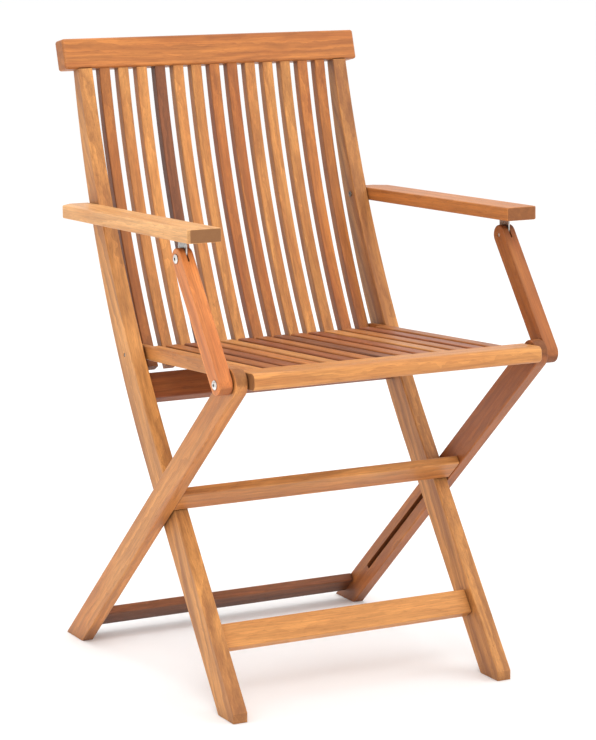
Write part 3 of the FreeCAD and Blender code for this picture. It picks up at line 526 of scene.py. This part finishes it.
def make_steel(name, bright, worn):
    """Satin plated steel with fine scratches and patchy dulling."""
    material = bpy.data.materials.new(name)
    material.use_nodes = True
    tree = material.node_tree
    shader = tree.nodes["Principled BSDF"]
    coordinates = tree.nodes.new("ShaderNodeTexCoord")
    patch = add_noise(tree, stretch(tree, coordinates.outputs["Object"], PATCH_SCALE), 3.0, 0.6)
    scratch = add_noise(tree, stretch(tree, coordinates.outputs["Object"], SCRATCH_SCALE), 2.0, 0.6)
    dull = remap(tree, patch.outputs["Fac"], 0.38, 0.68)
    colour = mix_colour(tree, dull, bright, worn)
    # Painted shade: the steel goes near black where it sees little sky.
    socket_shade_mask = tree.nodes.new("ShaderNodeGroup")
    socket_shade_mask.node_tree = wear_and_shade_group
    painted_socket_shade = add_math(tree, "MULTIPLY", socket_shade_mask.outputs["Painted Shade"], SOCKET_SHADE)
    colour = mix_colour(tree, painted_socket_shade, colour, SOCKET_SHADE_COLOUR)
    link(tree, colour, shader.inputs["Base Color"])
    rough = remap(tree, scratch.outputs["Fac"], 0.3, 0.7, 0.24, 0.46)
    link(tree, rough, shader.inputs["Roughness"])
    bump = tree.nodes.new("ShaderNodeBump")
    bump.inputs["Strength"].default_value = 0.2
    bump.inputs["Distance"].default_value = 0.0002
    link(tree, scratch.outputs["Fac"], bump.inputs["Height"])
    link(tree, bump.outputs["Normal"], shader.inputs["Normal"])
    shader.inputs["Metallic"].default_value = 1.0
    return material


plated_steel = make_steel("plated_steel", (0.82, 0.80, 0.77, 1.0), (0.52, 0.49, 0.45, 1.0))
dull_steel = make_steel("dull_steel", (0.34, 0.30, 0.26, 1.0), (0.15, 0.125, 0.105, 1.0))
for name, node in nodes.items():
    if any(word in name for word in ("bolts", "pegs", "pins", "plate")):
        node.data.materials.clear()
        node.data.materials.append(plated_steel if "plate" in name else dull_steel)
        print(name, node.data.materials[0].name)

# %% [markdown]
# ## Socket screws
# Each strut is held by a screw at its top and one at its foot. A screw is round, so half of its outline is
# drawn once, from the tip of the shank out over the head and down into the socket, and spun about its axis.
# Cylinders would need the same edges bevelled afterwards, so the spin is quicker and gives every edge its
# own roundness. The socket takes a hexagon key: after the spin, its two rings are pushed out from a circle
# to the hexagon around it.

# %% A screw's sizes and outline
HEAD_HEIGHT = 0.0025
HEAD_RADIUS = 0.0065
SHANK_RADIUS = 0.0030
TIP_BEVEL = 0.0005
RIM_EASE = 0.0002
SOCKET_RADIUS = 0.0023
SOCKET_DEPTH = 0.0016
SOCKET_MOUTH = 0.0003
SOCKET_CONE = 0.0006
# The dome, from its rim to its flat top: share of the head's height, and how far in from the rim.
DOME = ((0.42, 0.0), (0.66, 0.0004), (0.86, 0.0012), (0.97, 0.0023), (1.0, 0.0034))


def screw_outline(reach):
    """Half outline as pairs: distance outwards from under the head, and radius."""
    shank = [(-reach, 0.0), (-reach, SHANK_RADIUS - TIP_BEVEL), (-reach + TIP_BEVEL, SHANK_RADIUS),
             (0.0, SHANK_RADIUS)]
    rim = [(0.0, HEAD_RADIUS - RIM_EASE), (RIM_EASE, HEAD_RADIUS)]
    dome = [(HEAD_HEIGHT * share, HEAD_RADIUS - inwards) for share, inwards in DOME]
    floor_out = HEAD_HEIGHT - SOCKET_DEPTH
    socket = [(HEAD_HEIGHT, SOCKET_RADIUS + SOCKET_MOUTH), (HEAD_HEIGHT - SOCKET_MOUTH, SOCKET_RADIUS),
              (floor_out, SOCKET_RADIUS), (floor_out - SOCKET_CONE, 0.0)]
    return shank + rim + dome + socket


print("screw outline", len(screw_outline(0.02)), "points")

# %% Turning a screw
SPIN_STEPS = 48
SMOOTH_BELOW = math.radians(32)
AXIS_MERGE = 1e-6
HEXAGON_SIDE = math.pi / 3


def press_socket(shape, seat, facing):
    """Push the socket's two rings out from a circle to the hexagon around it."""
    for vert in shape.verts:
        arm = vert.co - seat
        arm.x = 0.0
        inside_head = facing * (vert.co.x - seat.x) > 0.0001
        if inside_head and abs(arm.length - SOCKET_RADIUS) < 0.00002:
            turned = math.atan2(arm.z, arm.y) % HEXAGON_SIDE - HEXAGON_SIDE / 2
            vert.co += arm * (math.cos(HEXAGON_SIDE / 2) / math.cos(turned) - 1.0)


def turn_screw(name, node_name, body):
    """Spin one screw where its node says, facing away from the middle of the chair."""
    low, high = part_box(node_name)
    facing = 1.0 if low[0] + high[0] > 0 else -1.0
    outer = high[0] if facing > 0 else low[0]
    seat = Vector((outer - facing * HEAD_HEIGHT, (low[1] + high[1]) / 2, (low[2] + high[2]) / 2))
    reach = high[0] - low[0] - HEAD_HEIGHT
    shape = bmesh.new()
    line = [shape.verts.new(seat + Vector((facing * out, 0, radius))) for out, radius in screw_outline(reach)]
    edges = [shape.edges.new(pair) for pair in zip(line, line[1:])]
    bmesh.ops.spin(shape, geom=line + edges, cent=seat, axis=(1, 0, 0), dvec=(0, 0, 0),
                   angle=math.tau, steps=SPIN_STEPS, use_merge=True)
    bmesh.ops.remove_doubles(shape, verts=shape.verts, dist=AXIS_MERGE)
    press_socket(shape, seat, facing)
    bmesh.ops.recalc_face_normals(shape, faces=shape.faces)
    for face in shape.faces:
        face.smooth = True
    for edge in shape.edges:
        if edge.is_manifold and edge.calc_face_angle() > SMOOTH_BELOW:
            edge.smooth = False
    mesh = bpy.data.meshes.new(name)
    shape.to_mesh(mesh)
    shape.free()
    screw = bpy.data.objects.new(name, mesh)
    scene.collection.objects.link(screw)
    mesh.materials.append(plated_steel)
    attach(screw, body)
    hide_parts(node_name)
    return screw


print("a head spans", 2 * HEAD_RADIUS, "m in", SPIN_STEPS, "steps")

# %% The four strut screws
for side in ("left", "right"):
    for spot in ("top", "foot"):
        screw = turn_screw("socket_screw_%s_%s" % (spot, side), "strut_%s_screw_%s" % (spot, side),
                           "strut_%s_body" % side)
        print(screw.name, len(screw.data.polygons), "faces")
